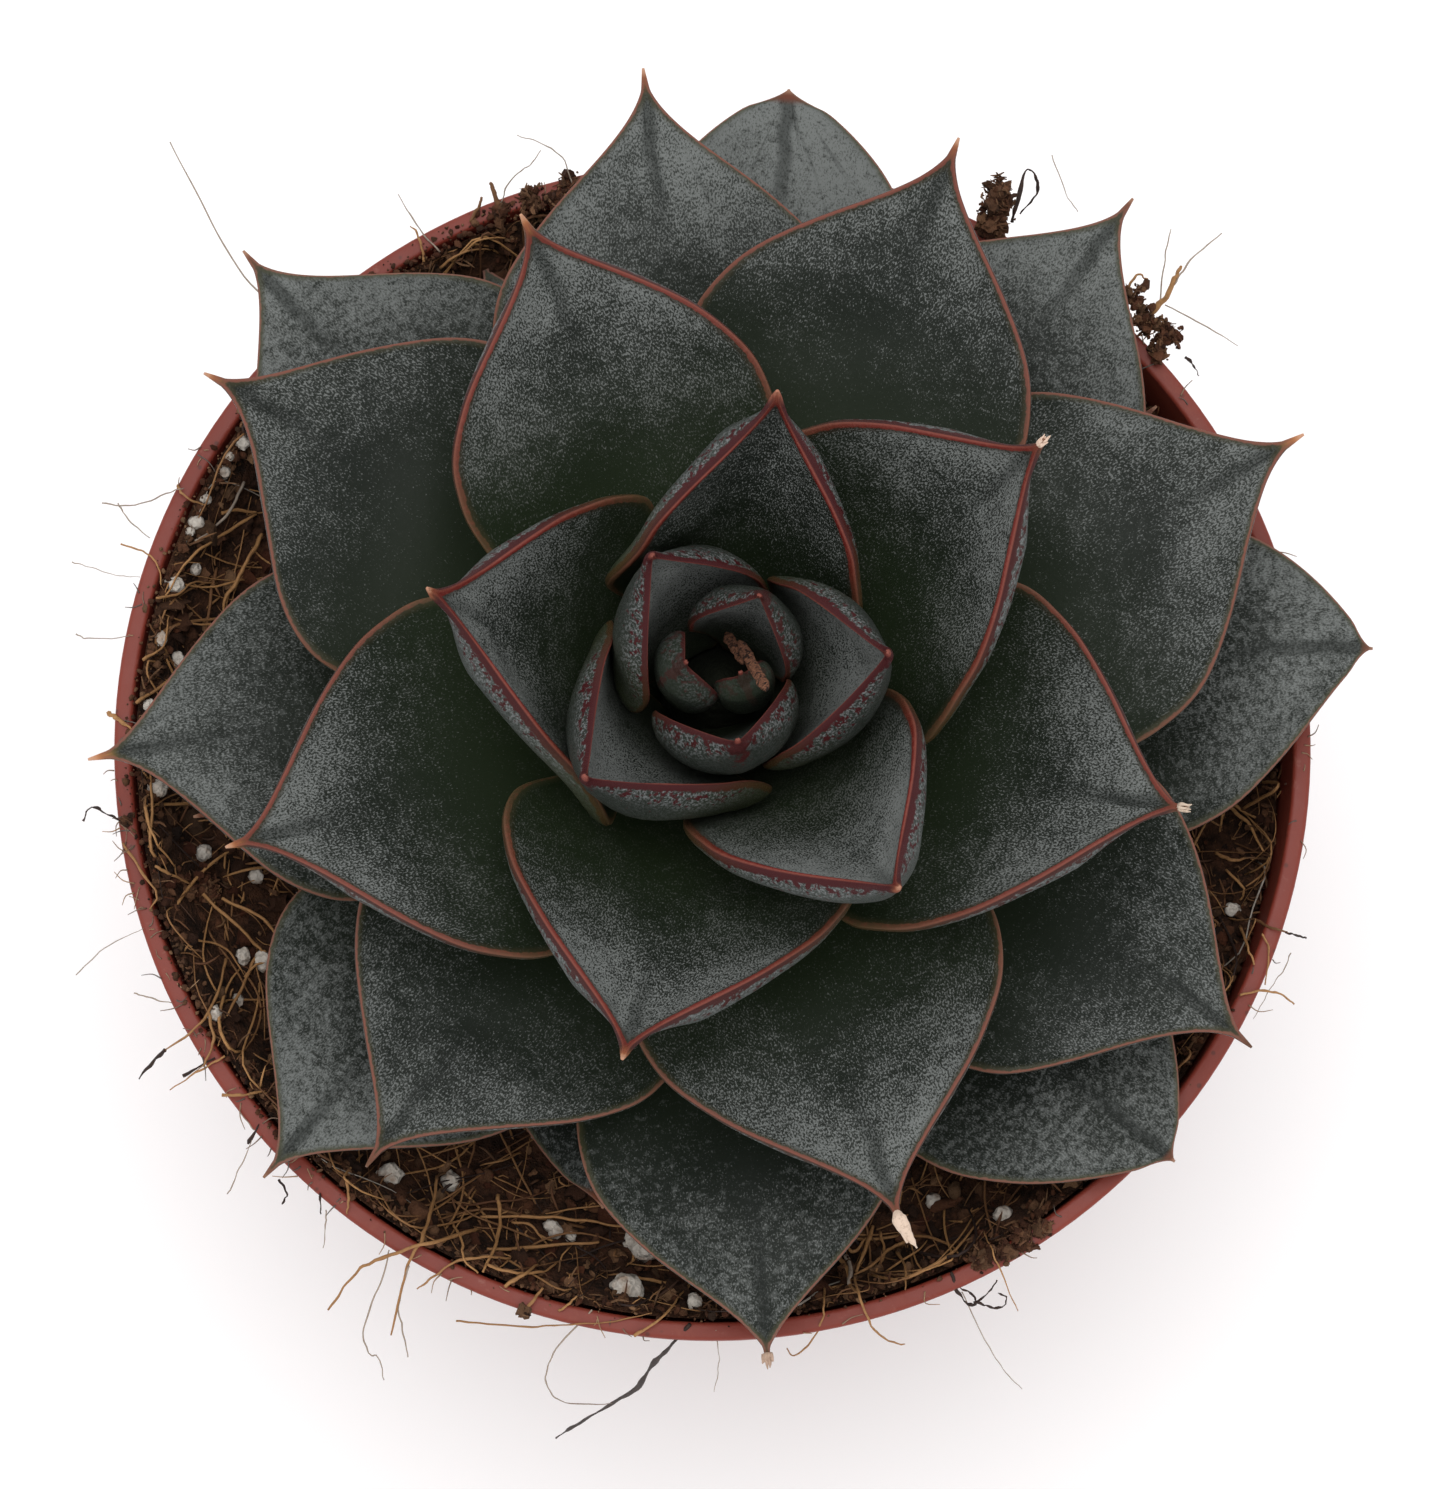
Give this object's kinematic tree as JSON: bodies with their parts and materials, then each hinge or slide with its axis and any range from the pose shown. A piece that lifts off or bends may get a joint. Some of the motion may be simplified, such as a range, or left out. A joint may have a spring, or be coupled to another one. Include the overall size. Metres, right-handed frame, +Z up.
{
  "type": "potted echeveria",
  "caption": "Rosette succulent with pointed, red-edged, dark grey-green leaves on a short stem, in a soil-filled round plastic nursery pot.",
  "frame": {"origin": "centre of the flat pad in the middle of the pot's underside", "axes": "+Z up along the pot's axis; -Y is the side a viewer stands at; +X is to that viewer's right"},
  "size_m": [0.1107, 0.1126, 0.129],
  "materials": {
    "leaf": "waxy, matte to satin, with a fine pale bloom",
    "stem": "rough",
    "soil": "loose peat and coir, rough",
    "pot": "matte, injection moulded"
  },
  "bodies": {
    "root": {"leaf_01": "leaf", "leaf_02": "leaf", "leaf_03": "leaf", "leaf_04": "leaf", "leaf_05": "leaf", "leaf_06": "leaf", "leaf_07": "leaf", "leaf_08": "leaf", "leaf_09": "leaf", "leaf_10": "leaf", "leaf_11": "leaf", "leaf_12": "leaf", "leaf_13": "leaf", "leaf_14": "leaf", "leaf_15": "leaf", "leaf_16": "leaf", "leaf_17": "leaf", "leaf_18": "leaf", "leaf_19": "leaf", "leaf_20": "leaf", "leaf_21": "leaf", "leaf_22": "leaf", "leaf_23": "leaf", "leaf_24": "leaf", "leaf_25": "leaf", "leaf_26": "leaf", "leaf_27": "leaf", "leaf_28": "leaf", "leaf_29": "leaf", "leaf_30": "leaf", "leaf_31": "leaf", "leaf_32": "leaf", "leaf_33": "leaf", "leaf_34": "leaf", "stem": "stem", "soil": "soil", "pot": "pot"}
  },
  "joints": []
}
